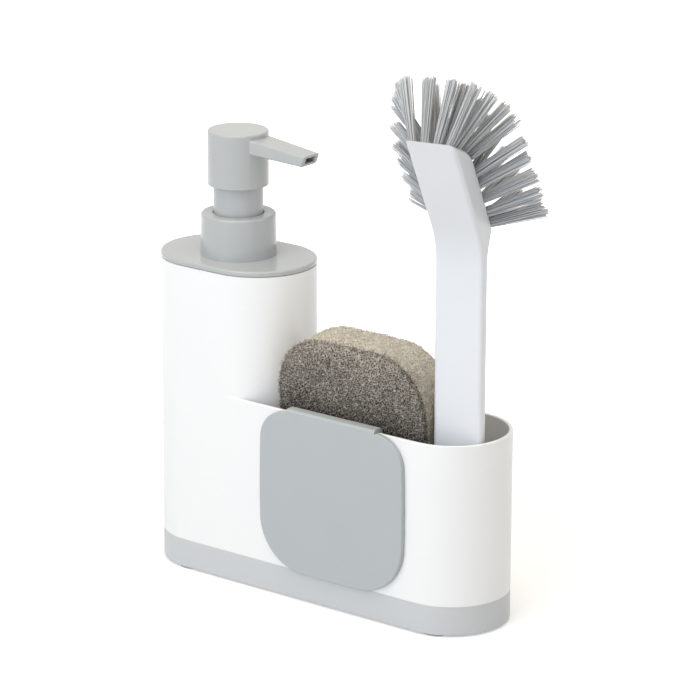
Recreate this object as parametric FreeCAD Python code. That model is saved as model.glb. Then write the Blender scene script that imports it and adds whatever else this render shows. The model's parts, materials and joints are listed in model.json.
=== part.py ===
import FreeCAD, Part
import math
import os

V = FreeCAD.Vector

# Soap pump caddy: a bottle tower and an open holder in one moulding on a drip tray,
# with a press pump in the tower's lid, a dish scraper on the rim, a sponge and a brush.
# Millimetres. Z is up from the table, X runs along the caddy, -Y is the front.
# The origin is on the table, under the middle of the caddy's plan.

# Clearances and cuts
overrun = 5.0
running_gap = 0.05
press_gap = 0.02
slide_gap = 0.3
seat_gap = 0.2

# Caddy body
caddy_depth = 60.0
tower_length = 85.0
tower_height = 162.2
rim_height = 99.0
seam_height = 16.0
body_wall = 2.0
body_floor = 2.5
rim_round = 0.7
spigot_depth = 8.0
spigot_wall = 1.8
drain_width = 3.0
drain_length = 26.0
drain_pitch = 10.0
drain_count = 9

# Drip tray and its feet
tray_wall = 2.2
tray_floor = 2.0
tray_round = 0.5
foot_height = 1.0
foot_radius = 6.5
foot_edge_gap = 0.5
foot_left_shift = 0.5
foot_right_shift = 7.5

# Lid of the tower
lid_thickness = 2.9
lid_round = 1.0
lid_shadow_gap = 0.5
lid_shadow_inset = 0.7
lid_fit = 0.25
skirt_depth = 8.0
skirt_wall = 2.2
seal_height = 2.4
seal_drop = 3.4
seal_groove = 0.9
neck_radius = 16.8
neck_wall = 2.6
neck_height = 3.5

# Pump collar, gasket and cylinder
collar_foot_radius = 19.5
collar_top_radius = 19.0
collar_height = 21.4
collar_round = 1.25
collar_roof = 2.0
collar_thread_gap = 0.2
collar_guide_gap = 0.4
collar_guide_wall = 1.5
gasket_thickness = 0.8
gasket_width = 2.1
flange_radius = 16.2
flange_thickness = 1.5
barrel_bore = 7.8
barrel_wall = 1.2
barrel_depth = 65.9
barrel_end = 2.0
ball_pocket_radius = 3.6
ball_pocket_depth = 6.0
inlet_radius = 1.8
inlet_floor = 2.0
socket_depth = 9.0
socket_wall = 2.4

# Moving parts inside the pump
stem_radius = 3.5
stem_bore = 2.0
stem_plug = 12.0
guide_flange_radius = 10.8
guide_flange = 1.3
guide_plug = 12.0
guide_bore_gap = 0.1
piston_height = 8.0
piston_lip = 1.6
piston_lip_slope = 1.0
piston_waist = 1.0
piston_stop_gap = 0.3
cap_radius = 6.6
cap_height = 6.0
cap_spigot = 5.0
cap_bore = 1.0
spring_wire = 1.0
spring_radius = 5.5
spring_turns = 9
ball_radius = 3.0
dip_tube_radius = 3.0
dip_tube_bore = 2.0
dip_tube_lift = 5.5

# Sleeve, head and spout
sleeve_radius = 12.7
sleeve_wall = 1.4
sleeve_show = 14.8
sleeve_engagement = 2.0
sleeve_plug = 5.8
head_radius = 15.5
head_height = 27.9
head_round = 1.0
head_boss_radius = 6.0
head_hollow_radius = 11.0
head_hollow_depth = 14.8
spout_reach = 47.0
spout_undercut = 2.1
spout_root_width = 15.4
spout_tip_width = 12.2
spout_root_drop = 2.6
spout_tip_drop = 6.1
spout_root_thickness = 7.5
spout_tip_thickness = 5.7
spout_round = 1.1
channel_width = 7.6
channel_height = 3.0

# Sponge with a coarse face
sponge_width = 88.9
sponge_height = 121.4
sponge_corner = 28.5
foam_thickness = 23.1
scourer_thickness = 3.0
foam_round = 2.5
scourer_round = 1.5
sponge_lean = 6.0
sponge_tower_gap = 1.6
sponge_front_gap = 6.5

# Brush
brush_width = 25.5
brush_thickness = 6.5
brush_yaw = 10.9
brush_sponge_gap = 0.452
brush_front_gap = 11.8
brush_wall_gap = 0.4
brush_bend_height = 196.6
brush_bend_round = 38.0
brush_head_length = 68.3
brush_head_lean = 31.3
brush_round = 2.0
pod_end_length = 22.7
pod_end_slope = 21.0
pod_length = 50.0
pod_tilt = 30.8
pod_blend = 11.0
pod_blend_round = 30.0
pod_foot_round = 4.0
pod_shoulder_round = 24.0
tuft_columns = 4
tuft_rows = 9
tuft_side_margin = 3.2
tuft_end_margin = 3.0
tuft_root_radius = 1.6
tuft_tip_radius = 2.8
tuft_foot_length = 30.0
tuft_tip_length = 31.3
tuft_seat = 4.0
tuft_foot_angle = 31.2
tuft_middle_angle = 69.8
tuft_tip_angle = 69.8
tuft_foot_spread_share = 1.78
tuft_middle_spread_share = 1.24
tuft_tip_spread_share = 0.29

# Dish scraper hung on the rim
scraper_width = 87.0
scraper_height = 82.5
scraper_thickness = 2.4
scraper_top_radius = 16.0
scraper_bottom_radius = 27.0
scraper_bulge = 1.2
scraper_edge = 0.7
scraper_shift = 4.8
hook_width = 55.0
hook_thickness = 1.8
hook_leg = 12.0
hook_wall_gap = 0.3
hook_round = 1.5

# Heights worked out from the sizes above
floor_top = seam_height + body_floor
lid_top = tower_height + lid_thickness
neck_top = lid_top + neck_height
gasket_top = neck_top + gasket_thickness
flange_top = gasket_top + flange_thickness
collar_top = lid_top + collar_height
head_bottom = collar_top + sleeve_show
head_top = head_bottom + head_height
stem_top = head_bottom + stem_plug
guide_bottom = flange_top - guide_plug
piston_top = guide_bottom - piston_stop_gap
piston_bottom = piston_top - piston_height
cap_bottom = piston_bottom - cap_height
spring_seat = flange_top - barrel_depth
pocket_floor = spring_seat - ball_pocket_depth
socket_top = pocket_floor - inlet_floor
socket_bottom = socket_top - socket_depth

# Plan worked out from what the holder has to take, measured from the tower's left end
yaw = math.radians(brush_yaw)
brush_across = V(math.cos(yaw), math.sin(yaw), 0)
brush_back = V(-math.sin(yaw), math.cos(yaw), 0)
inner_half_depth = caddy_depth / 2 - body_wall
sponge_start = tower_length + sponge_tower_gap
brush_start = sponge_start + sponge_width + brush_sponge_gap + brush_thickness * math.sin(yaw)
brush_front_y = brush_front_gap - inner_half_depth
brush_corner_y = brush_front_y + brush_width * math.sin(yaw)
brush_corner_run = math.sqrt((inner_half_depth - brush_wall_gap) ** 2 - brush_corner_y ** 2)
end_centre = brush_start + brush_width * math.cos(yaw) - brush_corner_run
caddy_length = end_centre + caddy_depth / 2

caddy_left = -caddy_length / 2
caddy_right = caddy_length / 2
tower_right = caddy_left + tower_length
pump_x = caddy_left + tower_length / 2
sponge_left = caddy_left + sponge_start
sponge_middle = sponge_left + sponge_width / 2
brush_corner = V(caddy_left + brush_start, brush_front_y, floor_top)


def between(start, end, share):
    """Value at a share of the way from a start to an end."""
    return start + (end - start) * share


def through(start, middle, end, share):
    """Value on a smooth run from a start through a middle to an end, at a share of the way."""
    return between(between(start, 2 * middle - end, share), between(2 * middle - start, end, share), share)


def oblong(left, right, depth, inset, low, high):
    """Upright block with round ends, drawn in from its outline by an inset."""
    radius = depth / 2 - inset
    start = left + depth / 2
    end = right - depth / 2
    front_left = V(start, -radius, low)
    front_right = V(end, -radius, low)
    back_right = V(end, radius, low)
    back_left = V(start, radius, low)
    edges = [
        Part.LineSegment(front_left, front_right).toShape(),
        Part.Arc(front_right, V(end + radius, 0, low), back_right).toShape(),
        Part.LineSegment(back_right, back_left).toShape(),
        Part.Arc(back_left, V(start - radius, 0, low), front_left).toShape(),
    ]
    return Part.Face(Part.Wire(edges)).extrude(V(0, 0, high - low))


def caddy_block(inset, low, high):
    """Block of the whole caddy's plan."""
    return oblong(caddy_left, caddy_right, caddy_depth, inset, low, high)


def tower_block(inset, low, high):
    """Block of the tower's plan."""
    return oblong(caddy_left, tower_right, caddy_depth, inset, low, high)


def rod(radius, low, high):
    """Round bar on the pump's axis."""
    return Part.makeCylinder(radius, high - low, V(pump_x, 0, low))


def tube(outer, inner, low, high):
    """Round tube on the pump's axis."""
    return rod(outer, low, high).cut(rod(inner, low - overrun, high + overrun))


def turned(profile):
    """Solid turned about the pump's axis from (radius, height) points."""
    points = [V(pump_x + radius, 0, height) for radius, height in profile]
    face = Part.Face(Part.makePolygon(points + points[:1]))
    return face.revolve(V(pump_x, 0, 0), V(0, 0, 1), 360)


def level_edges(shape, height):
    """Edges of a shape that lie flat at one height."""
    return [e for e in shape.Edges if max(abs(v.Z - height) for v in e.Vertexes) < press_gap]


def caddy_body():
    """White moulding: bottle tower and open holder with a drained floor."""
    shell = caddy_block(0, seam_height, rim_height)
    shell = shell.cut(caddy_block(body_wall, floor_top, rim_height + overrun))
    shell = shell.makeFillet(rim_round, level_edges(shell, rim_height))
    tower = tower_block(0, seam_height, tower_height)
    body = shell.fuse(tower).removeSplitter()
    body = body.cut(tower_block(body_wall, floor_top, tower_height + overrun))
    inset = tray_wall + slide_gap
    spigot_low = seam_height - spigot_depth
    spigot = caddy_block(inset, spigot_low, floor_top)
    spigot = spigot.cut(caddy_block(inset + spigot_wall, spigot_low - overrun, floor_top))
    body = body.fuse(spigot).removeSplitter()
    return body.cut(Part.makeCompound(drain_slots()))


def drain_slots():
    """Round-ended slots across the holder's floor."""
    middle = (tower_right + caddy_right) / 2
    half_run = (drain_length - drain_width) / 2
    slots = []
    for i in range(drain_count):
        x = middle + (i - (drain_count - 1) / 2) * drain_pitch
        low = V(x - drain_width / 2, -half_run, seam_height - overrun)
        slot = Part.makeBox(drain_width, 2 * half_run, body_floor + 2 * overrun, low)
        for y in (-half_run, half_run):
            end = V(x, y, seam_height - overrun)
            slot = slot.fuse(Part.makeCylinder(drain_width / 2, body_floor + 2 * overrun, end))
        slots.append(slot)
    return slots


def drip_tray():
    """Grey tray under the body, flush with its walls."""
    tray = caddy_block(0, foot_height, seam_height)
    tray = tray.makeFillet(tray_round, level_edges(tray, foot_height))
    return tray.cut(caddy_block(tray_wall, foot_height + tray_floor, seam_height + overrun))


def rubber_feet():
    """Four round pads stuck under the tray near its ends."""
    reach = caddy_depth / 2 - foot_edge_gap - foot_radius
    half_straight = (caddy_length - caddy_depth) / 2
    feet = []
    for side, shift in ((-1, foot_left_shift), (1, foot_right_shift)):
        y = math.sqrt(reach ** 2 - shift ** 2)
        for front in (-1, 1):
            place = V(side * (half_straight + shift), front * y, 0)
            feet.append(Part.makeCylinder(foot_radius, foot_height, place))
    return Part.makeCompound(feet)


def seal_band(inner_inset, outer_inset):
    """Band round the lid's skirt at the seal's height."""
    high = tower_height - seal_drop
    low = high - seal_height
    return tower_block(outer_inset, low, high).cut(tower_block(inner_inset, low - overrun, high + overrun))


def lid():
    """Grey lid with a plug skirt below and a low neck for the collar above."""
    plate = tower_block(0, tower_height + lid_shadow_gap, lid_top)
    plate = plate.makeFillet(lid_round, level_edges(plate, lid_top))
    seat = tower_block(lid_shadow_inset, tower_height, tower_height + lid_shadow_gap)
    skirt_inset = body_wall + lid_fit
    skirt = tower_block(skirt_inset, tower_height - skirt_depth, tower_height)
    hollow = tower_block(skirt_inset + skirt_wall, tower_height - skirt_depth - overrun, tower_height)
    neck = rod(neck_radius, tower_height, neck_top)
    shape = plate.fuse([seat, skirt.cut(hollow), neck]).removeSplitter()
    shape = shape.cut(rod(neck_radius - neck_wall, tower_height - overrun, neck_top + overrun))
    return shape.cut(seal_band(skirt_inset + seal_groove, body_wall))


def lid_seal():
    """Rubber band in the skirt's groove, against the tower's wall."""
    return seal_band(body_wall + lid_fit + seal_groove, body_wall + running_gap)


def pump_collar():
    """Collar over the neck, with a guide tube that holds the cylinder down."""
    bore = neck_radius + collar_thread_gap
    guide = sleeve_radius + collar_guide_gap
    shape = turned([
        (bore, lid_top),
        (collar_foot_radius, lid_top),
        (collar_top_radius, collar_top),
        (guide, collar_top),
        (guide, flange_top),
        (guide + collar_guide_wall, flange_top),
        (guide + collar_guide_wall, collar_top - collar_roof),
        (bore, collar_top - collar_roof),
    ])
    rim = [e for e in level_edges(shape, collar_top) if e.BoundBox.XLength > 2 * guide + slide_gap]
    return shape.makeFillet(collar_round, rim)


def collar_gasket():
    """Flat ring between the neck and the cylinder's flange."""
    return tube(neck_radius - seat_gap, neck_radius - seat_gap - gasket_width, neck_top, gasket_top)


def pump_cylinder():
    """Flanged barrel with a ball pocket and a socket for the dip tube."""
    barrel = barrel_bore + barrel_wall
    socket = dip_tube_radius + press_gap
    return turned([
        (barrel_bore, flange_top),
        (flange_radius, flange_top),
        (flange_radius, gasket_top),
        (barrel, gasket_top),
        (barrel, spring_seat - barrel_end),
        (socket + socket_wall, spring_seat - barrel_end),
        (socket + socket_wall, socket_bottom),
        (socket, socket_bottom),
        (socket, socket_top),
        (inlet_radius, socket_top),
        (inlet_radius, pocket_floor),
        (ball_pocket_radius, pocket_floor),
        (ball_pocket_radius, spring_seat),
        (barrel_bore, spring_seat),
    ])


def stem_guide():
    """Plug in the cylinder's mouth that guides the stem and stops the piston."""
    bore = stem_radius + guide_bore_gap
    plug = barrel_bore - running_gap
    return turned([
        (bore, guide_bottom),
        (plug, guide_bottom),
        (plug, flange_top),
        (guide_flange_radius, flange_top),
        (guide_flange_radius, flange_top + guide_flange),
        (bore, flange_top + guide_flange),
    ])


def pump_stem():
    """Hollow stem from the piston cap up into the head."""
    return tube(stem_radius, stem_bore, piston_bottom, stem_top)


def piston():
    """Soft piston with two sealing lips."""
    bore = stem_radius + running_gap
    lip = barrel_bore - running_gap
    waist = lip - piston_waist
    return turned([
        (bore, piston_bottom),
        (lip, piston_bottom),
        (lip, piston_bottom + piston_lip),
        (waist, piston_bottom + piston_lip + piston_lip_slope),
        (waist, piston_top - piston_lip - piston_lip_slope),
        (lip, piston_top - piston_lip),
        (lip, piston_top),
        (bore, piston_top),
    ])


def piston_cap():
    """Cap under the piston that takes the spring's push, with a spigot in the stem."""
    spigot = stem_bore - running_gap
    return turned([
        (cap_bore, cap_bottom),
        (cap_radius, cap_bottom),
        (cap_radius, piston_bottom),
        (spigot, piston_bottom),
        (spigot, piston_bottom + cap_spigot),
        (cap_bore, piston_bottom + cap_spigot),
    ])


def half_biarc(start, corner, end):
    """Arc from start to end whose end tangents meet at the corner."""
    chord = end - start
    weight = chord.Length / 2 / (corner - start).Length
    middle = (start + end) * 0.5
    top = (middle + corner * weight) * (1 / (1 + weight))
    return Part.Arc(start, top, end).toShape()


def biarc(start, start_way, end, end_way):
    """Two arcs that join two points along given directions."""
    span = end - start
    both = start_way + end_way
    spread = 2 * (1 - start_way.dot(end_way))
    along = span.dot(both)
    arm = (math.sqrt(along ** 2 + spread * span.dot(span)) - along) / spread
    first = start + start_way * arm
    second = end - end_way * arm
    join = (first + second) * 0.5
    return [half_biarc(start, first, join), half_biarc(join, second, end)]


def return_spring():
    """Wire spring between the cylinder's seat and the piston cap."""
    low = spring_seat + spring_wire / 2
    rise = (cap_bottom - spring_seat - spring_wire) / (2 * math.pi * spring_turns)

    def place(angle):
        round_x = pump_x + spring_radius * math.cos(angle)
        return V(round_x, spring_radius * math.sin(angle), low + rise * angle)

    def way(angle):
        return V(-spring_radius * math.sin(angle), spring_radius * math.cos(angle), rise).normalize()

    quarter = math.pi / 2
    edges = []
    for i in range(4 * spring_turns):
        start = i * quarter
        end = start + quarter
        edges += biarc(place(start), way(start), place(end), way(end))
    section = Part.Wire(Part.Circle(place(0), way(0), spring_wire / 2).toShape())
    pipe = Part.BRepOffsetAPI.MakePipeShell(Part.Wire(edges))
    pipe.add(section)
    pipe.build()
    pipe.makeSolid()
    steps = 8
    turn = [place(i * quarter / steps) for i in range(8 * steps)]
    gap = min((p - place(0)).Length for p in turn[3 * steps:]) - spring_wire
    print("return_spring least gap between turns", round(gap, 2))
    return pipe.shape()


def inlet_ball():
    """Valve ball resting on the edge of the cylinder's inlet."""
    lift = math.sqrt(ball_radius ** 2 - inlet_radius ** 2)
    return Part.makeSphere(ball_radius, V(pump_x, 0, pocket_floor + lift + press_gap))


def dip_tube():
    """Tube from the cylinder's socket to just above the tower's floor."""
    return tube(dip_tube_radius, dip_tube_bore, floor_top + dip_tube_lift, socket_top)


def stem_sleeve():
    """Wide sleeve that hangs from the head into the collar."""
    low = collar_top - sleeve_engagement
    return tube(sleeve_radius, sleeve_radius - sleeve_wall, low, head_bottom + sleeve_plug)


def spout_block(reach, undercut, widths, thicknesses):
    """Bar along the spout's middle line, tapered from root to tip sizes."""
    root_middle = spout_root_drop + spout_root_thickness / 2
    tip_middle = spout_tip_drop + spout_tip_thickness / 2

    def corner(run, side, edge):
        share = (run - head_radius) / (spout_reach - head_radius)
        height = head_top - between(root_middle, tip_middle, share)
        half_width = between(*widths, share) / 2
        half_thickness = between(*thicknesses, share) / 2
        return V(pump_x + run, side * half_width, height + edge * half_thickness)

    def section(top, bottom):
        points = [corner(top, -1, 1), corner(top, 1, 1), corner(bottom, 1, -1), corner(bottom, -1, -1)]
        return Part.makePolygon(points + points[:1])

    return Part.makeLoft([section(0, 0), section(reach, reach - undercut)], True, True)


def pump_head():
    """Press head with its spout, hollow below, on the stem and the sleeve."""
    head = rod(head_radius, head_bottom, head_top)
    head = head.makeFillet(head_round, level_edges(head, head_top))
    widths = (spout_root_width, spout_tip_width)
    thicknesses = (spout_root_thickness, spout_tip_thickness)
    spout = spout_block(spout_reach, spout_undercut, widths, thicknesses)
    long_edges = [e for e in spout.Edges if e.BoundBox.XLength > head_radius]
    spout = spout.makeFillet(spout_round, long_edges)
    shape = head.fuse(spout).removeSplitter()
    sleeve_top = head_bottom + sleeve_plug
    shape = shape.cut(tube(sleeve_radius + press_gap, head_boss_radius, head_bottom - overrun, sleeve_top))
    hollow_top = head_bottom + head_hollow_depth
    shape = shape.cut(tube(head_hollow_radius, head_boss_radius, sleeve_top, hollow_top))
    shape = shape.cut(rod(stem_radius + press_gap, head_bottom - overrun, stem_top))
    widths = (channel_width, channel_width)
    heights = (channel_height, channel_height)
    channel = spout_block(spout_reach + overrun, 0, widths, heights)
    riser_top = head_top - spout_root_drop - spout_root_thickness / 2
    return shape.cut(channel).cut(rod(stem_bore, stem_top - overrun, riser_top))


def rounded_slab(width, height, corner, front, back):
    """Upright slab with round corners, standing on the plane z = 0."""
    slab = Part.makeBox(width, back - front, height, V(-width / 2, front, 0))
    upright = [e for e in slab.Edges if e.BoundBox.YLength > (back - front) / 2]
    return slab.makeFillet(corner, upright)


def stand_sponge(slab):
    """Leans a slab forward in the holder and flattens the foot that it stands on."""
    foot = floor_top + seat_gap
    lean = math.radians(sponge_lean)
    sunk = foot - (scourer_thickness + foam_thickness) * math.sin(lean)
    slab.rotate(V(0, 0, 0), V(1, 0, 0), sponge_lean)
    rim_y = sponge_front_gap - inner_half_depth
    slab.translate(V(sponge_middle, rim_y + (rim_height - sunk) * math.tan(lean), sunk))
    size = max(sponge_width, sponge_height)
    corner = V(sponge_middle - size, -size, foot)
    return slab.common(Part.makeBox(2 * size, 2 * size, 2 * size, corner))


def face_edges(slab, y):
    """Edges of a slab that lie in the plane of one of its faces."""
    return [e for e in slab.Edges if max(abs(v.Y - y) for v in e.Vertexes) < press_gap]


def sponge_foam():
    """Fine foam block of the sponge."""
    back = scourer_thickness + foam_thickness
    slab = rounded_slab(sponge_width, sponge_height, sponge_corner, scourer_thickness, back)
    return stand_sponge(slab.makeFillet(foam_round, face_edges(slab, back)))


def sponge_scourer():
    """Coarse face bonded to the foam's front."""
    slab = rounded_slab(sponge_width, sponge_height, sponge_corner, 0, scourer_thickness)
    return stand_sponge(slab.makeFillet(scourer_round, face_edges(slab, 0)))


def brush_point(across, back, height):
    """Point of the brush: across its width, behind its front face and above its foot."""
    return brush_corner + brush_across * across + brush_back * back + V(0, 0, height)


# Side view of the brush: the head leans to the front, with a wedge behind it for the bristles
bend_rise = brush_bend_height - floor_top
head_lean = math.radians(brush_head_lean)
end_slope = math.radians(pod_end_slope)
face_tilt = math.radians(pod_tilt)
tip = (-brush_head_length * math.sin(head_lean), bend_rise + brush_head_length * math.cos(head_lean))
shoulder = (tip[0] + pod_end_length * math.cos(end_slope), tip[1] - pod_end_length * math.sin(end_slope))
pod_foot = (shoulder[0] + pod_length * math.sin(face_tilt), shoulder[1] - pod_length * math.cos(face_tilt))
bend = (0, bend_rise)
blend = (brush_thickness, pod_foot[1] - pod_blend)


def brush_handle():
    """White handle with a bent head and a wedge behind it for the bristles."""
    side = [(0, 0), bend, tip, shoulder, pod_foot, blend, (brush_thickness, 0)]
    points = [brush_point(0, back, height) for back, height in side]
    handle = Part.Face(Part.makePolygon(points + points[:1])).extrude(brush_across * brush_width)
    rounds = [
        (bend, brush_bend_round),
        (shoulder, pod_shoulder_round),
        (pod_foot, pod_foot_round),
        (blend, pod_blend_round),
    ]
    for place, radius in rounds:
        middle = brush_point(brush_width / 2, *place)
        crosswise = [e for e in handle.Edges if e.CenterOfMass.isEqual(middle, press_gap)]
        handle = handle.makeFillet(radius, crosswise)
    lengthways = []
    for edge in handle.Edges:
        across = (edge.CenterOfMass - brush_corner).dot(brush_across)
        on_side = min(across, brush_width - across) < press_gap
        if on_side and edge.CenterOfMass.z > floor_top + press_gap:
            lengthways.append(edge)
    return handle.makeFillet(brush_round, lengthways)


def tuft_root(up):
    """Depth and height of a tuft's root, at a share of the way up the wedge."""
    run = between(tuft_end_margin, pod_length + pod_end_length - tuft_end_margin, up)
    if run < pod_length:
        start, end, share = pod_foot, shoulder, run / pod_length
    else:
        start, end, share = shoulder, tip, (run - pod_length) / pod_end_length
    return [between(low, high, share) for low, high in zip(start, end)]


def bristle_tufts(handle):
    """Tufts that fan out from the wedge to the sides and over the tip."""
    span = brush_width - 2 * tuft_side_margin
    tufts = []
    for row in range(tuft_rows):
        up = row / (tuft_rows - 1)
        angle = math.radians(through(tuft_foot_angle, tuft_middle_angle, tuft_tip_angle, up))
        spread = through(tuft_foot_spread_share, tuft_middle_spread_share, tuft_tip_spread_share, up)
        length = between(tuft_foot_length, tuft_tip_length, up) + tuft_seat
        out = brush_back * math.cos(angle) + V(0, 0, math.sin(angle))
        for column in range(tuft_columns):
            right = column / (tuft_columns - 1)
            root = brush_point(tuft_side_margin + span * right, *tuft_root(up))
            way = (out + brush_across * (spread * (2 * right - 1))).normalize()
            seat = root - way * tuft_seat
            cone = Part.makeCone(tuft_root_radius, tuft_tip_radius, length, seat, way)
            pieces = cone.cut(handle).Solids
            tufts.append(max(pieces, key=lambda piece: piece.Volume))
    return Part.makeCompound(tufts)


def corner_edges(plate, height):
    """Edges through a plate's thickness at the corners of one height."""
    through = [e for e in plate.Edges if e.BoundBox.YLength > scraper_thickness / 2]
    return [e for e in through if abs(e.CenterOfMass.z - height) < press_gap]


def dish_scraper():
    """Grey scraper plate with a hook over the holder's rim."""
    wall = -caddy_depth / 2
    back = wall - hook_wall_gap
    front = back - scraper_thickness
    middle = sponge_middle - scraper_shift
    hook_top = rim_height + seat_gap + hook_thickness
    top = rim_height + seat_gap
    low = top - scraper_height
    left = middle - scraper_width / 2
    right = middle + scraper_width / 2
    bulge = scraper_bulge
    half = (low + top) / 2
    corners = [V(left, front, low), V(right, front, low), V(right, front, top), V(left, front, top)]
    edges = [
        Part.Arc(corners[0], V(middle, front, low - bulge), corners[1]).toShape(),
        Part.Arc(corners[1], V(right + bulge, front, half), corners[2]).toShape(),
        Part.LineSegment(corners[2], corners[3]).toShape(),
        Part.Arc(corners[3], V(left - bulge, front, half), corners[0]).toShape(),
    ]
    plate = Part.Face(Part.Wire(edges)).extrude(V(0, back - front, 0))
    plate = plate.makeFillet(scraper_bottom_radius, corner_edges(plate, low))
    plate = plate.makeFillet(scraper_top_radius, corner_edges(plate, top))
    plate = plate.makeFillet(scraper_edge, face_edges(plate, front))
    leg_front = wall + body_wall + hook_wall_gap
    leg_back = leg_front + hook_thickness
    hook_left = middle - hook_width / 2
    bridge = Part.makeBox(hook_width, leg_back - front, hook_thickness, V(hook_left, front, top))
    leg_low = V(hook_left, leg_front, top - hook_leg)
    leg = Part.makeBox(hook_width, hook_thickness, hook_leg + hook_thickness, leg_low)
    neck = Part.makeBox(hook_width, back - front, hook_top - half, V(hook_left, front, half))
    hook = bridge.fuse([leg, neck]).removeSplitter()
    bends = [e for e in level_edges(hook, hook_top) if e.BoundBox.XLength > hook_width / 2]
    return plate.fuse(hook.makeFillet(hook_round, bends)).removeSplitter()


def main():
    """Builds every node and writes one file for each."""
    handle = brush_handle()
    nodes = {
        "caddy_body": caddy_body(),
        "drip_tray": drip_tray(),
        "rubber_feet": rubber_feet(),
        "lid": lid(),
        "lid_seal": lid_seal(),
        "pump_collar": pump_collar(),
        "collar_gasket": collar_gasket(),
        "pump_cylinder": pump_cylinder(),
        "stem_guide": stem_guide(),
        "pump_stem": pump_stem(),
        "piston": piston(),
        "piston_cap": piston_cap(),
        "return_spring": return_spring(),
        "inlet_ball": inlet_ball(),
        "dip_tube": dip_tube(),
        "stem_sleeve": stem_sleeve(),
        "pump_head": pump_head(),
        "sponge_foam": sponge_foam(),
        "sponge_scourer": sponge_scourer(),
        "brush_handle": handle,
        "bristle_tufts": bristle_tufts(handle),
        "dish_scraper": dish_scraper(),
    }
    os.makedirs("parts", exist_ok=True)
    for name, shape in nodes.items():
        shape.exportStep("parts/" + name + ".step")
        print(name, len(shape.Solids), "solids", shape.isValid(), round(shape.Volume))


main()
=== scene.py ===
"""Looks of the soap pump caddy: finishes for the rigid pieces, a foam sponge and nylon bristles.

Lengths are metres in the frame of the solids: Z up, X along the caddy, -Y to the front.
"""
import json
import logging
import math
import random
from dataclasses import dataclass, field
from enum import Enum

import bpy
import numpy as np
from mathutils import Matrix, Vector


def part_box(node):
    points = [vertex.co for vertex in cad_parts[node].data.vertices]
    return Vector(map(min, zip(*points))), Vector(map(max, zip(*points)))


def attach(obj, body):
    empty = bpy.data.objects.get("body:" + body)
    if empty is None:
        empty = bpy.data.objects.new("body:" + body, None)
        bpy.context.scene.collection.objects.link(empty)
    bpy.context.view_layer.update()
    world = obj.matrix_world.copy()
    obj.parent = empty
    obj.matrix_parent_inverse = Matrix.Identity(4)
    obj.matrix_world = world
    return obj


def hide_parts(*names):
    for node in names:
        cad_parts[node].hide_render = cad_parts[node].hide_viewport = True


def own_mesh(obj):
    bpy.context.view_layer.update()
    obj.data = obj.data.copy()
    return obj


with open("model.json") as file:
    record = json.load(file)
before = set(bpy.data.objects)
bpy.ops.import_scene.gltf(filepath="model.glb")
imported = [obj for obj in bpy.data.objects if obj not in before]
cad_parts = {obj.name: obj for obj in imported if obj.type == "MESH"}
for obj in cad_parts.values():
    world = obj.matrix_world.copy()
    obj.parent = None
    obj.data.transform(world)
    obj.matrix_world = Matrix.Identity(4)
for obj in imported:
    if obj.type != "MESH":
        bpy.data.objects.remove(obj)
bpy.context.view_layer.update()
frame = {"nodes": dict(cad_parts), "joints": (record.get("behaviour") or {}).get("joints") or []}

LOG = logging.getLogger("soap_pump_caddy")
# Octaves of noise in slow drifts and in fine grain.
DRIFT_DETAIL = 4.0
GRAIN_DETAIL = 2.0
# Distance below which two places count as one.
TOUCH = 1e-6


class Body(Enum):
    """Bodies of the caddy that new pieces ride on."""

    LID = "lid_assembly"
    SPONGE = "sponge"
    BRUSH = "brush"


def linear(color: str) -> tuple[float, float, float, float]:
    """Turns an sRGB hex colour into linear light.

    Args:
        color: Colour as "#RRGGBB".

    Returns:
        Linear red, green and blue with full alpha.
    """
    parts = [int(color[i:i + 2], 16) / 255 for i in (1, 3, 5)]
    red, green, blue = [c / 12.92 if c <= 0.04045 else ((c + 0.055) / 1.055) ** 2.4 for c in parts]
    return red, green, blue, 1.0


def add_node(tree: bpy.types.NodeTree, kind: str, inputs: dict | None = None, **settings) -> bpy.types.Node:
    """Adds a node with its settings, values and links.

    Args:
        tree: Node tree that gets the node.
        kind: Type name of the node.
        inputs: Input names or places, each with a value or with the output that is linked to it.
        **settings: Attributes of the node.

    Returns:
        The new node.
    """
    node = tree.nodes.new(kind)
    for name, value in settings.items():
        setattr(node, name, value)
    for key, value in (inputs or {}).items():
        if isinstance(value, bpy.types.NodeSocket):
            tree.links.new(value, node.inputs[key])
        else:
            node.inputs[key].default_value = value
    return node


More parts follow.
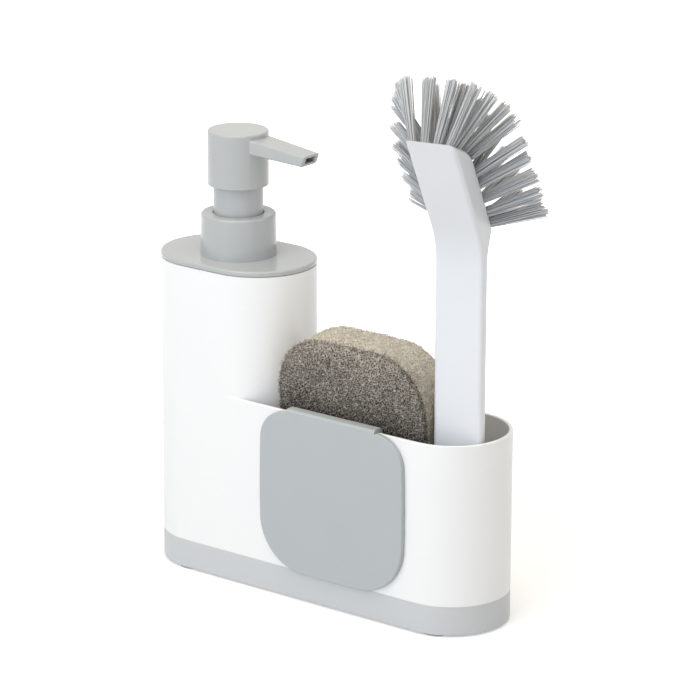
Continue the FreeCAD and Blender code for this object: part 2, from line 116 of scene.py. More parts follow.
@dataclass(frozen=True)
class Finish:
    """What every finish has: a name, a colour, a gloss and a refraction."""

    name: str
    color: str
    roughness: float
    ior: float = 1.5

    def start(self) -> tuple[bpy.types.Material, bpy.types.NodeTree, bpy.types.Node, bpy.types.NodeSocket]:
        """Makes the material with its shader.

        Returns:
            The material, its node tree, its shader and the Object coordinates.
        """
        material = bpy.data.materials.new(self.name)
        material.use_nodes = True
        tree = material.node_tree
        tree.nodes.clear()
        values = {"Base Color": linear(self.color), "Roughness": self.roughness, "IOR": self.ior}
        shader = add_node(tree, "ShaderNodeBsdfPrincipled", values)
        add_node(tree, "ShaderNodeOutputMaterial", {"Surface": shader.outputs["BSDF"]})
        place = add_node(tree, "ShaderNodeTexCoord").outputs["Object"]
        return material, tree, shader, place

    def blend_color(
        self, tree: bpy.types.NodeTree, shader: bpy.types.Node, level: bpy.types.NodeSocket, other: str
    ) -> None:
        """Lets the colour follow a pattern.

        Args:
            tree: Node tree of the material.
            shader: Shader that gets the colour.
            level: Pattern, 0 for the finish's own colour and 1 for the other.
            other: Other colour as "#RRGGBB".
        """
        color = add_node(
            tree,
            "ShaderNodeMix",
            {"Factor": level, "A": linear(self.color), "B": linear(other)},
            data_type="RGBA",
        )
        tree.links.new(color.outputs["Result"], shader.inputs["Base Color"])

    def swing_gloss(
        self, tree: bpy.types.NodeTree, shader: bpy.types.Node, level: bpy.types.NodeSocket, swing: float
    ) -> None:
        """Lets the gloss follow a pattern.

        Args:
            tree: Node tree of the material.
            shader: Shader that gets the gloss.
            level: Pattern from 0 to 1.
            swing: Most that the roughness departs from the finish's own.
        """
        gloss = add_node(
            tree,
            "ShaderNodeMapRange",
            {"Value": level, "To Min": self.roughness - swing, "To Max": self.roughness + swing},
        )
        tree.links.new(gloss.outputs["Result"], shader.inputs["Roughness"])


@dataclass(frozen=True)
class MouldedPlastic(Finish):
    """Injection-moulded plastic: an even colour, a satin skin with fine grain and soft edges."""

    second_color: str = "#FFFFFF"
    mottle: float = 0.03
    gloss_swing: float = 0.05
    # The grain of a real mould is finer. It is drawn this coarse so that it shows.
    grain: float = 0.0009
    grain_height: float = 0.000006
    edge: float = 0.0003
    edge_samples: int = 4

    def material(self) -> bpy.types.Material:
        """Makes the material.

        Returns:
            Plastic whose tint and gloss drift over the mottle's size, with the grain as a low bump.
        """
        material, tree, shader, place = self.start()
        drift = add_node(
            tree, "ShaderNodeTexNoise", {"Vector": place, "Scale": 1 / self.mottle, "Detail": DRIFT_DETAIL}
        )
        self.blend_color(tree, shader, drift.outputs["Fac"], self.second_color)
        self.swing_gloss(tree, shader, drift.outputs["Fac"], self.gloss_swing)
        grain = add_node(
            tree, "ShaderNodeTexNoise", {"Vector": place, "Scale": 1 / self.grain, "Detail": GRAIN_DETAIL}
        )
        rounded = add_node(tree, "ShaderNodeBevel", {"Radius": self.edge}, samples=self.edge_samples)
        bump = add_node(
            tree,
            "ShaderNodeBump",
            {
                "Height": grain.outputs["Fac"],
                "Distance": self.grain_height,
                "Normal": rounded.outputs["Normal"],
            },
        )
        tree.links.new(bump.outputs["Normal"], shader.inputs["Normal"])
        return material


@dataclass(frozen=True)
class Rubber(Finish):
    """Moulded rubber: dull, with fine dust that lightens it in patches."""

    dust_color: str = "#8A8B8C"
    dust: float = 0.006
    grain: float = 0.0006
    grain_height: float = 0.00002

    def material(self) -> bpy.types.Material:
        """Makes the material.

        Returns:
            Rubber with dusty patches and a fine tooth.
        """
        material, tree, shader, place = self.start()
        patches = add_node(
            tree, "ShaderNodeTexNoise", {"Vector": place, "Scale": 1 / self.dust, "Detail": DRIFT_DETAIL}
        )
        self.blend_color(tree, shader, patches.outputs["Fac"], self.dust_color)
        tooth = add_node(
            tree, "ShaderNodeTexNoise", {"Vector": place, "Scale": 1 / self.grain, "Detail": GRAIN_DETAIL}
        )
        bump = add_node(
            tree, "ShaderNodeBump", {"Height": tooth.outputs["Fac"], "Distance": self.grain_height}
        )
        tree.links.new(bump.outputs["Normal"], shader.inputs["Normal"])
        return material


@dataclass(frozen=True)
class DrawnSteel(Finish):
    """Drawn stainless steel: bright metal with fine die lines that vary its gloss."""

    line: float = 0.0004
    gloss_swing: float = 0.1

    def material(self) -> bpy.types.Material:
        """Makes the material.

        Returns:
            Steel whose gloss follows the die lines.
        """
        material, tree, shader, place = self.start()
        shader.inputs["Metallic"].default_value = 1.0
        lines = add_node(
            tree, "ShaderNodeTexNoise", {"Vector": place, "Scale": 1 / self.line, "Detail": GRAIN_DETAIL}
        )
        self.swing_gloss(tree, shader, lines.outputs["Fac"], self.gloss_swing)
        return material


@dataclass(frozen=True)
class OpenCellFoam(Finish):
    """Open-cell foam: pale struts at the surface and dark cells, with slow changes of tone."""

    cell_color: str = "#2E2A26"
    strut_color: str = "#B5AB9C"
    cell: float = 0.0009
    web_width: float = 0.22
    web_share: float = 0.55
    # How much the surface's pits darken: painted shade in the recesses.
    pit_shade_share: float = 0.35
    tone: float = 0.02
    tone_detail: float = 2.0
    tone_swing: float = 0.2
    # Heights between which the foam darkens towards its foot: painted shade deep in the holder's well.
    well_shade_low: float = 0.095
    well_shade_high: float = 0.138
    well_shade_share: float = 0.3
    cell_stop: float = 0.05
    color_stop: float = 0.38
    strut_stop: float = 0.75

    def material(self) -> bpy.types.Material:
        """Makes the material.

        Returns:
            Foam with a web of pale struts over dark cells, with painted shade in the piece's pits and
            towards its foot deep in the holder.
        """
        material, tree, shader, place = self.start()
        cells = add_node(
            tree,
            "ShaderNodeTexVoronoi",
            {"Vector": place, "Scale": 1 / self.cell},
            feature="DISTANCE_TO_EDGE",
        )
        web = add_node(
            tree,
            "ShaderNodeMapRange",
            {
                "Value": cells.outputs["Distance"],
                "From Max": self.web_width,
                "To Min": self.web_share,
                "To Max": 0.0,
            },
        )
        height = add_node(tree, "ShaderNodeSeparateXYZ", {"Vector": place})
        # Painted shade: the foam gets darker towards its foot, deep in the holder.
        well_shade = add_node(
            tree,
            "ShaderNodeMapRange",
            {
                "Value": height.outputs["Z"],
                "From Min": self.well_shade_low,
                "From Max": self.well_shade_high,
                "To Min": -self.well_shade_share,
                "To Max": 0.0,
            },
        )
        level = add_node(
            tree, "ShaderNodeMath", {0: web.outputs["Result"], 1: well_shade.outputs["Result"]}, operation="ADD"
        ).outputs["Value"]
        # The depth attribute darkens the surface's pits with painted shade; on the struts it holds their
        # random tone.
        depth = add_node(tree, "ShaderNodeAttribute", attribute_name=Sponge.DEPTH)
        tone = add_node(
            tree, "ShaderNodeTexNoise", {"Vector": place, "Scale": 1 / self.tone, "Detail": self.tone_detail}
        )
        for source, share in ((depth, self.pit_shade_share), (tone, self.tone_swing)):
            level = add_node(
                tree,
                "ShaderNodeMath",
                {0: source.outputs["Fac"], 1: share, 2: level},
                operation="MULTIPLY_ADD",
            ).outputs["Value"]
        ramp = add_node(tree, "ShaderNodeValToRGB", {"Fac": level})
        stops = ramp.color_ramp.elements
        stops[0].position = self.cell_stop
        stops[0].color = linear(self.cell_color)
        stops[1].position = self.strut_stop
        stops[1].color = linear(self.strut_color)
        stops.new(self.color_stop).color = linear(self.color)
        tree.links.new(ramp.outputs["Color"], shader.inputs["Base Color"])
        return material


@dataclass(frozen=True)
class Nylon(Finish):
    """Extruded nylon filament: grey with a soft sheen, each of its own tone, with painted shade at its root.
    """

    second_color: str = "#D8DADC"
    root_shade_color: str = "#6C6F72"
    root_shade_stop: float = 0.15

    def material(self) -> bpy.types.Material:
        """Makes the material.

        Returns:
            Nylon whose tone changes from one filament to the next, with painted shade darkening it towards
            the roots.
        """
        material, tree, shader, _ = self.start()
        shade = add_node(tree, "ShaderNodeAttribute", attribute_name=Brush.SHADE)
        ramp = add_node(tree, "ShaderNodeValToRGB", {"Fac": shade.outputs["Fac"]})
        stops = ramp.color_ramp.elements
        stops[0].color = linear(self.root_shade_color)
        stops[1].color = linear(self.second_color)
        stops.new(self.root_shade_stop).color = linear(self.color)
        tree.links.new(ramp.outputs["Color"], shader.inputs["Base Color"])
        return material


def dress(names: list[str], finish: MouldedPlastic | Rubber | DrawnSteel) -> None:
    """Gives carried-over solids a finish.

    Args:
        names: Nodes that share the finish.
        finish: Finish that they get.
    """
    material = finish.material()
    for name in names:
        piece = frame["nodes"][name]
        piece.data.materials.clear()
        piece.data.materials.append(material)
        LOG.info("%s: %s", name, finish.name)


def select_only(piece: bpy.types.Object) -> None:
    """Makes a piece the only one that operators act on."""
    bpy.ops.object.select_all(action="DESELECT")
    piece.select_set(True)
    bpy.context.view_layer.objects.active = piece


def apply_modifier(piece: bpy.types.Object, kind: str, **settings) -> None:
    """Adds a modifier to a piece and applies it.

    Args:
        piece: Piece that gets the modifier.
        kind: Type name of the modifier.
        **settings: Attributes of the modifier.
    """
    select_only(piece)
    modifier = piece.modifiers.new(kind.lower(), kind)
    for name, value in settings.items():
        setattr(modifier, name, value)
    bpy.ops.object.modifier_apply(modifier=modifier.name)


def coordinates(mesh: bpy.types.Mesh) -> np.ndarray:
    """Reads the points of a mesh as an array of rows."""
    points = np.empty(len(mesh.vertices) * 3, np.float32)
    mesh.vertices.foreach_get("co", points)
    return points.reshape(-1, 3)


def outward(mesh: bpy.types.Mesh) -> np.ndarray:
    """Reads the normals of a mesh's points as an array of rows."""
    normals = np.empty(len(mesh.vertices) * 3, np.float32)
    mesh.vertices.foreach_get("normal", normals)
    return normals.reshape(-1, 3)


@dataclass
class Caddy:
    """White body on its grey drip tray, with feet below."""

    # Lightly etched ABS: clean white with broad, soft highlights.
    body: MouldedPlastic = MouldedPlastic("satin white ABS", "#F3F5F7", 0.36, second_color="#F6F7F8")
    # The same moulding in pale grey, a little duller.
    tray: MouldedPlastic = MouldedPlastic("satin grey ABS", "#C9CCCF", 0.38, second_color="#CCCFD2")
    # Pressed rubber: dull, with a trace of dust.
    feet: Rubber = Rubber("grey foot rubber", "#A7AAAC", 0.7, dust_color="#B4B6B8")

    def dress(self) -> None:
        """Gives the body, the tray and the feet their finishes."""
        dress(["caddy_body"], self.body)
        dress(["drip_tray"], self.tray)
        dress(["rubber_feet"], self.feet)


@dataclass
class Pump:
    """Lid and press pump, with the works inside them."""

    # Finely finished PP: a cool grey with a clear sheen on its rounds.
    shell: MouldedPlastic = MouldedPlastic(
        "satin grey PP", "#B2B6B8", 0.2, second_color="#B5B9BA", gloss_swing=0.03
    )
    # PP without pigment: milky and a little warm.
    works: MouldedPlastic = MouldedPlastic("natural PP", "#E4E4DF", 0.42, second_color="#ECECE8")
    # Moulded rubber: nearly black and dull.
    seals: Rubber = Rubber("seal rubber", "#3A3B3C", 0.6, dust_color="#4A4B4C")
    # Drawn wire: bright, with fine lines.
    steel: DrawnSteel = DrawnSteel("drawn stainless steel", "#C2C3C5", 0.28)

    def dress(self) -> None:
        """Gives the pump's pieces their finishes."""
        dress(["lid", "pump_collar", "stem_sleeve", "pump_head"], self.shell)
        dress(["pump_cylinder", "stem_guide", "pump_stem", "piston_cap", "dip_tube"], self.works)
        dress(["lid_seal", "collar_gasket", "piston"], self.seals)
        dress(["return_spring", "inlet_ball"], self.steel)

    def build_spring(self) -> None:
        """Puts a copy of the return spring on the lid's body in place of its solid."""
        solid = frame["nodes"]["return_spring"]
        piece = bpy.data.objects.new("spring_coil", solid.data.copy())
        bpy.context.scene.collection.objects.link(piece)
        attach(piece, Body.LID.value)
        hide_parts("return_spring")
        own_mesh(piece)


@dataclass
class Scraper:
    """Grey scraper that hangs on the rim."""

    # Matt moulding: an even, cool grey that mirrors hardly anything.
    plate: MouldedPlastic = MouldedPlastic("matt grey PP", "#B2B8BB", 0.44, second_color="#B5BABD")

    def dress(self) -> None:
        """Gives the scraper its finish."""
        dress(["dish_scraper"], self.plate)


@dataclass
class Layer:
    """One layer of the sponge: its finish, its rounded edge, its cells, its struts and its depths."""

    name: str
    node: str
    finish: OpenCellFoam
    edge: float
    edge_at_front: bool
    voxel: float
    cell: float
    cell_depth: float
    strut: float
    front: float = 0.0
    back: float = 0.0

    @property
    def face(self) -> float:
        """Depth of the face that shows."""
        return self.front if self.edge_at_front else self.back

    @property
    def bond(self) -> float:
        """Depth of the hidden face, where the layers are bonded."""
        return self.back if self.edge_at_front else self.front


@dataclass
class Sponge:
    """Foam sponge with a coarse face, leaning in the holder."""

    DEPTH = "cell_depth"

    PARALLEL = 0.99
    FACING = 0.9

    corner: float = 0.0285
    corner_steps: int = 14
    edge_steps: int = 4
    height: float = 0.1214
    cell_level: float = 0.7
    strut_radius: float = 0.00015
    strut_count: int = 9000
    strut_crowd: float = 8.0
    strut_lean: float = 0.8
    strut_shares: tuple[float, float] = (0.5, 1.2)
    strut_tones: tuple[float, float] = (0.2, 1.0)
    swell: float = 0.022
    swell_height: float = 0.0008
    seed: int = 5
    # Coarse foam: pale struts glint over dark cells.
    coarse: OpenCellFoam = OpenCellFoam(
        "coarse brown-grey foam", "#6A635C", 0.75, cell_color="#211F1D", strut_color="#CAC2B6", cell=0.0012
    )
    # Fine foam: dull beige with soft pits.
    fine: OpenCellFoam = OpenCellFoam(
        "fine beige foam", "#B8B0A1", 0.85, cell_color="#7D7466", strut_color="#DFD9CE", cell=0.0008
    )
    up: Vector = field(init=False)
    back: Vector = field(init=False)

    def __post_init__(self) -> None:
        """Takes the lean from the joint that the sponge is lifted along."""
        lift = next(joint for joint in frame["joints"] if joint["child"] == Body.SPONGE.value)
        self.up = Vector(lift["axis"])
        self.back = Vector((0, self.up.z, -self.up.y))

    def reach(self, node: str, way: Vector) -> tuple[float, float]:
        """Measures a solid along a direction.

        Args:
            node: Name of the solid.
            way: Unit direction.

        Returns:
            Least and most distance of its points from the origin along the direction.
        """
        along = coordinates(frame["nodes"][node].data) @ np.array(way)
        return float(along.min()), float(along.max())

    def build(self) -> None:
        """Builds both layers and puts them in place."""
        scourer = Layer(
            "scourer_face",
            "sponge_scourer",
            self.coarse,
            edge=0.0015,
            edge_at_front=True,
            voxel=0.00037,
            cell=0.001,
            cell_depth=0.0011,
            strut=0.0019,
        )
        foam = Layer(
            "foam_block",
            "sponge_foam",
            self.fine,
            edge=0.0025,
            edge_at_front=False,
            voxel=0.00055,
            cell=0.0007,
            cell_depth=0.0004,
            strut=0.0011,
        )
        scourer.front, scourer.back = self.reach(scourer.node, self.back)
        foam.front, foam.back = scourer.back, self.reach(foam.node, self.back)[1]
        for layer in (scourer, foam):
            self.finish_layer(layer, self.build_layer(layer))

    def build_layer(self, layer: Layer) -> bpy.types.Object:
        """Models a layer as an upright slab, with its cells, and leans it in place.

        Args:
            layer: Layer to model.

        Returns:
            The modelled piece.
        """
        low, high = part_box(layer.node)
        top = self.reach(layer.node, self.up)[1]
        width = high.x - low.x
        middle = (low.x + high.x) / 2
        size = (width, layer.back - layer.front, self.height)
        place = (0, (layer.front + layer.back) / 2, top - self.height / 2)
        bpy.ops.object.select_all(action="DESELECT")
        bpy.ops.mesh.primitive_cube_add(size=1, location=place, scale=size)
        piece = bpy.context.object
        piece.name = layer.name
        piece.data.name = layer.name
        bpy.ops.object.transform_apply()
        through = [e for e in piece.data.edges if self.runs(piece, e, 1)]
        self.bevel(piece, through, self.corner, self.corner_steps)
        outline = [e for e in piece.data.edges if self.lies(piece, e, layer.face)]
        self.bevel(piece, outline, layer.edge, self.edge_steps)
        apply_modifier(piece, "REMESH", mode="VOXEL", voxel_size=layer.voxel)
        self.close_bond(piece, layer)
        self.add_cells(piece, layer)
        self.add_struts(piece, layer)
        turn = Matrix((Vector((1, 0, 0)), self.back, self.up)).transposed().to_4x4()
        piece.data.transform(Matrix.Translation((middle, 0, 0)) @ turn)
        self.flatten_foot(piece, low.z)
        return piece

    def runs(self, piece: bpy.types.Object, edge: bpy.types.MeshEdge, axis: int) -> bool:
        """Tells whether an edge runs along an axis."""
        start, end = [piece.data.vertices[i].co for i in edge.vertices]
        return abs((end - start).normalized()[axis]) > self.PARALLEL

    @staticmethod
    def lies(piece: bpy.types.Object, edge: bpy.types.MeshEdge, depth: float) -> bool:
        """Tells whether an edge lies in the plane at a depth."""
        return all(abs(piece.data.vertices[i].co.y - depth) < TOUCH for i in edge.vertices)

    @staticmethod
    def bevel(piece: bpy.types.Object, edges: list, radius: float, steps: int) -> None:
        """Rounds edges of a piece.

        Args:
            piece: Piece to round.
            edges: Edges to round.
            radius: Radius of the rounding.
            steps: Faces across the rounding.
        """
        chosen = {edge.index for edge in edges}
        select_only(piece)
        bpy.ops.object.mode_set(mode="EDIT")
        bpy.ops.mesh.select_mode(type="EDGE")
        bpy.ops.mesh.select_all(action="DESELECT")
        bpy.ops.object.mode_set(mode="OBJECT")
        for edge in piece.data.edges:
            edge.select = edge.index in chosen
        bpy.ops.object.mode_set(mode="EDIT")
        bpy.ops.mesh.bevel(offset=radius, segments=steps, profile=0.5, affect="EDGES")
        bpy.ops.object.mode_set(mode="OBJECT")

    def close_bond(self, piece: bpy.types.Object, layer: Layer) -> None:
        """Makes the hidden face, where the layers are bonded, one flat face.

        Args:
            piece: Layer's mesh.
            layer: Layer that it is.
        """
        select_only(piece)
        bpy.ops.object.mode_set(mode="EDIT")
        bpy.ops.mesh.select_mode(type="FACE")
        bpy.ops.mesh.select_all(action="DESELECT")
        bpy.ops.object.mode_set(mode="OBJECT")
        for face in piece.data.polygons:
            near = abs(face.center.y - layer.bond) < layer.voxel / 2
            face.select = near and abs(face.normal.y) > self.FACING
        bpy.ops.object.mode_set(mode="EDIT")
        bpy.ops.mesh.delete(type="FACE")
        bpy.ops.mesh.select_mode(type="EDGE")
        bpy.ops.mesh.select_all(action="DESELECT")
        bpy.ops.mesh.select_non_manifold()
        bpy.ops.mesh.edge_face_add()
        bpy.ops.object.mode_set(mode="OBJECT")
        for vertex in piece.data.vertices:
            if abs(vertex.co.y - layer.bond) < layer.voxel:
                vertex.co.y = layer.bond

    def add_cells(self, piece: bpy.types.Object, layer: Layer) -> None:
        """Pushes the cells into the surface and keeps their depth as an attribute.

        Args:
            piece: Layer's mesh.
            layer: Layer that it is.
        """
        group = piece.vertex_groups.new(name="surface")
        shown = [v.index for v in piece.data.vertices if abs(v.co.y - layer.bond) > layer.voxel / 2]
        group.add(shown, 1.0, "REPLACE")
        uneven = bpy.data.textures.new(layer.name + "_swell", "CLOUDS")
        uneven.noise_scale = self.swell
        apply_modifier(piece, "DISPLACE", texture=uneven, texture_coords="LOCAL", mid_level=0.5,
                       strength=self.swell_height, vertex_group=group.name)
        cells = bpy.data.textures.new(layer.name + "_cells", "VORONOI")
        cells.noise_scale = layer.cell
        cells.noise_intensity = 1.0
        before = coordinates(piece.data)
        normals = outward(piece.data)
        apply_modifier(piece, "DISPLACE", texture=cells, texture_coords="LOCAL", mid_level=self.cell_level,
                       strength=layer.cell_depth, vertex_group=group.name)
        moved = ((coordinates(piece.data) - before) * normals).sum(axis=1)
        depth = piece.data.attributes.new(self.DEPTH, "FLOAT", "POINT")
        depth.data.foreach_set("value", (moved / layer.cell_depth + self.cell_level).astype(np.float32))

    def add_struts(self, piece: bpy.types.Object, layer: Layer) -> None:
        """Adds broken struts that stand out of the surface and make the outline fuzzy.

        Args:
            piece: Layer's mesh with its cells.
            layer: Layer that it is.
        """
        rng = np.random.default_rng(self.seed)
        points = coordinates(piece.data).astype(float)
        normals = outward(piece.data).astype(float)
        shown = np.flatnonzero(np.abs(points[:, 1] - layer.bond) > layer.voxel)
        crowd = 1 + self.strut_crowd * (1 - np.abs(normals[shown, 1]))
        feet = rng.choice(shown, self.strut_count, replace=False, p=crowd / crowd.sum())
        ways = normals[feet] + rng.normal(0, self.strut_lean, (self.strut_count, 3))
        ways /= np.linalg.norm(ways, axis=1, keepdims=True)
        lengths = layer.strut * rng.uniform(*self.strut_shares, (self.strut_count, 1))
        sides = np.cross(ways, rng.normal(0, 1, (self.strut_count, 3)))
        sides *= self.strut_radius / np.linalg.norm(sides, axis=1, keepdims=True)
        others = np.cross(ways, sides)
        starts = points[feet] - ways * layer.strut / 2
        ends = points[feet] + ways * lengths
        turns = [(math.cos(k * math.tau / 3), math.sin(k * math.tau / 3)) for k in range(3)]
        rings = [end + sides * c + others * s for end in (starts, ends) for c, s in turns]
        corners = np.stack(rings, axis=1).reshape(-1, 3)
        shape = [(0, 2, 1), (3, 4, 5), (0, 1, 4, 3), (1, 2, 5, 4), (2, 0, 3, 5)]
        faces = [[len(rings) * k + i for i in face] for k in range(self.strut_count) for face in shape]
        mesh = bpy.data.meshes.new("struts")
        mesh.from_pydata(corners.tolist(), [], faces)
        depth = mesh.attributes.new(self.DEPTH, "FLOAT", "POINT")
        tones = np.repeat(rng.uniform(*self.strut_tones, self.strut_count), len(rings))
        depth.data.foreach_set("value", tones.astype(np.float32))
        struts = bpy.data.objects.new("struts", mesh)
        bpy.context.scene.collection.objects.link(struts)
        select_only(piece)
        struts.select_set(True)
        bpy.ops.object.join()

    @staticmethod
    def flatten_foot(piece: bpy.types.Object, height: float) -> None:
        """Cuts the foot flat where the sponge stands on the holder's floor.

        Args:
            piece: Layer in place.
            height: Height of the foot.
        """
        select_only(piece)
        bpy.ops.object.mode_set(mode="EDIT")
        bpy.ops.mesh.select_all(action="SELECT")
        bpy.ops.mesh.bisect(plane_co=(0, 0, height), plane_no=(0, 0, -1), use_fill=True, clear_outer=True)
        bpy.ops.object.mode_set(mode="OBJECT")

    @staticmethod
    def finish_layer(layer: Layer, piece: bpy.types.Object) -> None:
        """Dresses a layer and lets it stand for its solid.

        Args:
            layer: Layer that was modelled.
            piece: The modelled piece.
        """
        select_only(piece)
        bpy.ops.object.shade_smooth()
        piece.data.materials.append(layer.finish.material())
        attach(piece, Body.SPONGE.value)
        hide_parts(layer.node)
        LOG.info("%s: %d points", piece.name, len(piece.data.vertices))


@dataclass
class Tuft:
    """One tuft's middle line and its spread."""

    root: Vector
    tip: Vector
    radius: float


@dataclass
class Brush:
    """White handle, and tufts of nylon filaments in its wedge."""

    SHADE = "shade"

    filaments: int = 60
    filament_radius: float = 0.00022
    filament_sides: int = 5
    clusters: int = 6
    tip_share: float = 0.85
    root_shade_stop: float = 0.62
    sink: float = 0.0003
    length_swing: float = 0.03
    cluster_length_swing: float = 0.05
    stray: float = 0.0003
    cluster_stray: float = 0.0006
    cap_depth: float = 0.00003
    turn_swing: float = 0.3
    tones: tuple[float, float] = (0.2, 1.0)
    # Share of a filament's tone kept at its root: painted shade where the filaments crowd into the handle.
    root_shade: float = 0.3
    seed: int = 11
    # Smooth PP: a slightly cool white.
    handle: MouldedPlastic = MouldedPlastic("white PP", "#E6E9EE", 0.35, second_color="#E8EBF0")
    # Extruded filaments: a soft sheen, darkened towards the roots by painted shade.
    nylon: Nylon = Nylon("grey nylon", "#B0B3B6", 0.38, ior=1.53, second_color="#EAECEE")

    def dress(self) -> None:
        """Gives the handle its finish."""
        dress(["brush_handle"], self.handle)

    def tufts(self) -> list[Tuft]:
        """Reads the tufts' middle lines from their solids.

        Returns:
            One tuft for each cone.
        """
        source = frame["nodes"]["bristle_tufts"]
        copy = bpy.data.objects.new("tuft_copy", source.data.copy())
        bpy.context.scene.collection.objects.link(copy)
        select_only(copy)
        bpy.ops.object.mode_set(mode="EDIT")
        bpy.ops.mesh.select_all(action="SELECT")
        bpy.ops.mesh.remove_doubles(threshold=TOUCH)
        bpy.ops.mesh.separate(type="LOOSE")
        bpy.ops.object.mode_set(mode="OBJECT")
        handle_low, handle_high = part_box("brush_handle")
        middle = np.array((handle_low + handle_high) / 2)
        found = []
        for cone in list(bpy.context.selected_objects):
            points = coordinates(cone.data).astype(float)
            centre = points.mean(axis=0)
            way = np.linalg.svd(points - centre, full_matrices=False)[2][0]
            if (centre - middle) @ way < 0:
                way = -way
            along = (points - centre) @ way
            cap = points[along > along.max() - self.cap_depth]
            tip = cap.mean(axis=0)
            radius = float(np.linalg.norm(cap - tip, axis=1).max())
            root = tip - way * (along.max() - along.min())
            found.append(Tuft(Vector(root), Vector(tip), radius))
            bpy.data.objects.remove(cone)
        return found

    def filament(self) -> tuple[np.ndarray, list[list[int]]]:
        """Models one filament of unit length and unit radius.

        Returns:
            Its points and its faces.
        """
        bpy.ops.object.select_all(action="DESELECT")
        bpy.ops.mesh.primitive_cylinder_add(
            vertices=self.filament_sides, radius=1, depth=1, location=(0, 0, 0.5)
        )
        piece = bpy.context.object
        bpy.ops.object.transform_apply()
        for vertex in piece.data.vertices:
            if vertex.co.z > 0.5:
                vertex.co.xy *= self.tip_share
        points = coordinates(piece.data).astype(float)
        faces = [list(face.vertices) for face in piece.data.polygons]
        bpy.data.objects.remove(piece)
        return points, faces

    def group(self, rng: random.Random, side: Vector, other: Vector) -> tuple[Vector, float]:
        """Chooses how far a cluster of filaments leans and how long it is.

        Args:
            rng: Seeded source of chance.
            side: Direction across the tuft.
            other: Second direction across the tuft.

        Returns:
            Shift of the cluster's tips and its length as a share of the tuft's.
        """
        shift = side * rng.gauss(0, self.cluster_stray) + other * rng.gauss(0, self.cluster_stray)
        return shift, 1 - rng.uniform(0, self.cluster_length_swing)

    def build(self) -> None:
        """Fills every tuft with filaments."""
        rng = random.Random(self.seed)
        points, faces = self.filament()
        all_points = []
        all_faces = []
        shades = []
        for tuft in self.tufts():
            way = (tuft.tip - tuft.root).normalized()
            side = way.orthogonal().normalized()
            other = way.cross(side)
            length = (tuft.tip - tuft.root).length + self.sink
            start = tuft.root - way * self.sink
            groups = [self.group(rng, side, other) for _ in range(self.clusters)]
            for i in range(self.filaments):
                spread = math.sqrt((i + 0.5) / self.filaments) * tuft.radius
                angle = i * math.pi * (3 - math.sqrt(5)) + rng.uniform(-self.turn_swing, self.turn_swing)
                out = side * math.cos(angle) + other * math.sin(angle)
                shift, longer = groups[int(angle % math.tau / math.tau * self.clusters)]
                stray = side * rng.gauss(0, self.stray) + other * rng.gauss(0, self.stray)
                foot = start + out * spread * self.root_shade_stop
                reach = length * (longer + rng.uniform(-self.length_swing, self.length_swing))
                head = start + way * reach + out * spread + shift + stray
                base = len(all_points) * len(points)
                run = np.outer(points[:, 2], np.array(head - foot))
                ring = np.outer(points[:, 0], np.array(side)) + np.outer(points[:, 1], np.array(other))
                all_points.append(np.array(foot) + run + ring * self.filament_radius)
                all_faces += [[base + k for k in face] for face in faces]
                tone = rng.uniform(*self.tones)
                # Root points take a darker value: painted shade towards the roots.
                shades += list(np.where(points[:, 2] > 0.5, tone, tone * self.root_shade))
        mesh = bpy.data.meshes.new("bristles")
        mesh.from_pydata(np.concatenate(all_points).tolist(), [], all_faces)
        shade = mesh.attributes.new(self.SHADE, "FLOAT", "POINT")
        shade.data.foreach_set("value", np.array(shades, np.float32))
        piece = bpy.data.objects.new("bristles", mesh)
        bpy.context.scene.collection.objects.link(piece)
        mesh.materials.append(self.nylon.material())
        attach(piece, Body.BRUSH.value)
        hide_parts("bristle_tufts")
        LOG.info("%s: %d points", piece.name, len(mesh.vertices))


@dataclass
class Lamp:
    """Soft rectangular lamp, placed round the object."""

    name: str
    azimuth: float
    elevation: float
    distance: float
    width: float
    height: float
    power: float
    color: str = "#FFFFFF"


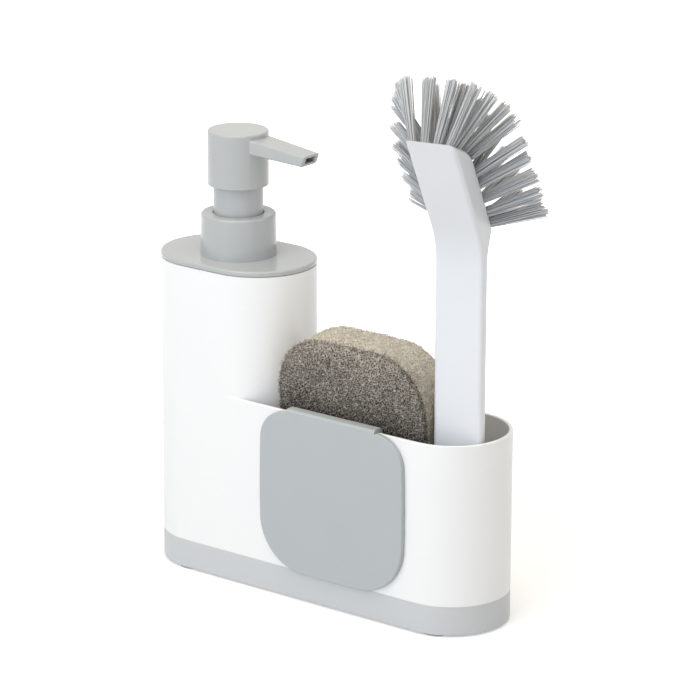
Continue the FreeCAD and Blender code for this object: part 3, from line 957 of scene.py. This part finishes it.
@dataclass
class Studio:
    """Camera at the photograph's place, soft lamps and a plain pale floor."""

    azimuth: float = 37.398
    elevation: float = 17.102
    roll: float = 0.220
    distance: float = 1.8355
    lens: float = 184.69
    sensor: float = 36.0
    frame_pixels: float = 700.0
    origin_pixel: tuple[float, float] = (333.16, 583.30)
    aim: tuple[float, float, float] = (0.0, 0.0, 0.13)
    floor_size: float = 12.0
    floor_color: str = "#E2E2E2"
    near: float = 0.16
    far: float = 0.6
    near_glow: float = 0.4
    far_glow: float = 1.0
    ambient: float = 0.32
    lamps: tuple[Lamp, ...] = (
        Lamp("key_softbox", -2.0, 26.0, 1.7, 1.5, 1.7, 16.0, "#EFF6FF"),
        Lamp("top_softbox", 20.0, 80.0, 1.6, 1.4, 1.4, 19.5, "#FFF4E0"),
        Lamp("right_strip", 120.0, 15.0, 1.6, 0.5, 1.4, 3.2),
    )

    @staticmethod
    def back(azimuth: float, elevation: float) -> Vector:
        """Direction from the object to a place round it.

        Args:
            azimuth: Degrees round the object, 0 at the front.
            elevation: Degrees above the horizon.

        Returns:
            Unit vector.
        """
        turn, rise = math.radians(azimuth), math.radians(elevation)
        return Vector((math.sin(turn) * math.cos(rise), -math.cos(turn) * math.cos(rise), math.sin(rise)))

    def build(self) -> None:
        """Makes the camera, the lamps, the world and the floor."""
        self.add_camera()
        for lamp in self.lamps:
            self.add_lamp(lamp)
        self.add_world()
        self.add_floor()
        bpy.context.scene.view_settings.view_transform = "Standard"

    def add_camera(self) -> None:
        """Puts the camera where the photograph was taken."""
        back = self.back(self.azimuth, self.elevation)
        level = Vector((math.cos(math.radians(self.azimuth)), math.sin(math.radians(self.azimuth)), 0))
        upright = back.cross(level)
        roll = math.radians(self.roll)
        right = level * math.cos(roll) + upright * math.sin(roll)
        up = upright * math.cos(roll) - level * math.sin(roll)
        metres_per_pixel = self.distance * self.sensor / (self.lens * self.frame_pixels)
        across = (self.origin_pixel[0] - self.frame_pixels / 2) * metres_per_pixel
        above = (self.frame_pixels / 2 - self.origin_pixel[1]) * metres_per_pixel
        data = bpy.data.cameras.new("camera")
        data.lens = self.lens
        data.sensor_width = self.sensor
        camera = bpy.data.objects.new("camera", data)
        bpy.context.scene.collection.objects.link(camera)
        place = back * self.distance - right * across - up * above
        turn = Matrix((right, up, back)).transposed().to_4x4()
        camera.matrix_world = Matrix.Translation(place) @ turn
        bpy.context.scene.camera = camera

    def add_lamp(self, lamp: Lamp) -> None:
        """Adds a soft lamp that points at the object.

        Args:
            lamp: Lamp to add.
        """
        back = self.back(lamp.azimuth, lamp.elevation)
        data = bpy.data.lights.new(lamp.name, "AREA")
        data.shape = "RECTANGLE"
        data.size = lamp.width
        data.size_y = lamp.height
        data.energy = lamp.power
        data.color = linear(lamp.color)[:3]
        light = bpy.data.objects.new(lamp.name, data)
        bpy.context.scene.collection.objects.link(light)
        light.location = Vector(self.aim) + back * lamp.distance
        light.rotation_euler = back.to_track_quat("Z", "Y").to_euler()

    @staticmethod
    def seen(tree: bpy.types.NodeTree) -> bpy.types.NodeSocket:
        """Adds nodes that tell rays which show the background from rays which light the object.

        Args:
            tree: Node tree that gets the nodes.

        Returns:
            Output that is 1 for camera, glossy and transmission rays.
        """
        path = add_node(tree, "ShaderNodeLightPath")
        mirror = add_node(
            tree,
            "ShaderNodeMath",
            {0: path.outputs["Is Glossy Ray"], 1: path.outputs["Is Transmission Ray"]},
            operation="MAXIMUM",
        )
        either = add_node(
            tree,
            "ShaderNodeMath",
            {0: path.outputs["Is Camera Ray"], 1: mirror.outputs["Value"]},
            operation="MAXIMUM",
        )
        return either.outputs["Value"]

    def add_world(self) -> None:
        """Makes a white background that lights the object at the ambient level only."""
        world = bpy.data.worlds.new("studio")
        bpy.context.scene.world = world
        world.use_nodes = True
        tree = world.node_tree
        tree.nodes.clear()
        color = linear("#FFFFFF")
        dim = add_node(tree, "ShaderNodeBackground", {"Color": color, "Strength": self.ambient})
        white = add_node(tree, "ShaderNodeBackground", {"Color": color, "Strength": 1.0})
        mix = add_node(
            tree,
            "ShaderNodeMixShader",
            {0: self.seen(tree), 1: dim.outputs["Background"], 2: white.outputs["Background"]},
        )
        add_node(tree, "ShaderNodeOutputWorld", {"Surface": mix.outputs["Shader"]})

    def add_floor(self) -> None:
        """Makes a pale floor that keeps the object's shadow."""
        bpy.ops.object.select_all(action="DESELECT")
        bpy.ops.mesh.primitive_plane_add(size=self.floor_size)
        floor = bpy.context.object
        floor.name = "floor"
        material = bpy.data.materials.new("pale floor")
        material.use_nodes = True
        tree = material.node_tree
        tree.nodes.clear()
        matt = add_node(tree, "ShaderNodeBsdfDiffuse", {"Color": linear(self.floor_color)})
        place = add_node(tree, "ShaderNodeTexCoord").outputs["Object"]
        away = add_node(tree, "ShaderNodeVectorMath", {0: place}, operation="LENGTH")
        fade = add_node(
            tree,
            "ShaderNodeMapRange",
            {
                "Value": away.outputs["Value"],
                "From Min": self.near,
                "From Max": self.far,
                "To Min": self.near_glow,
                "To Max": self.far_glow,
            },
        )
        strength = add_node(
            tree, "ShaderNodeMath", {0: self.seen(tree), 1: fade.outputs["Result"]}, operation="MULTIPLY"
        )
        glow = add_node(tree, "ShaderNodeEmission", {"Strength": strength.outputs["Value"]})
        both = add_node(tree, "ShaderNodeAddShader", {0: matt.outputs["BSDF"], 1: glow.outputs["Emission"]})
        add_node(tree, "ShaderNodeOutputMaterial", {"Surface": both.outputs["Shader"]})
        floor.data.materials.append(material)


def main() -> None:
    """Dresses the solids, builds the soft pieces and sets up the studio."""
    logging.basicConfig(level=logging.INFO)
    Caddy().dress()
    pump = Pump()
    pump.dress()
    pump.build_spring()
    Scraper().dress()
    Sponge().build()
    brush = Brush()
    brush.dress()
    brush.build()
    Studio().build()


if __name__ == "__main__":
    main()
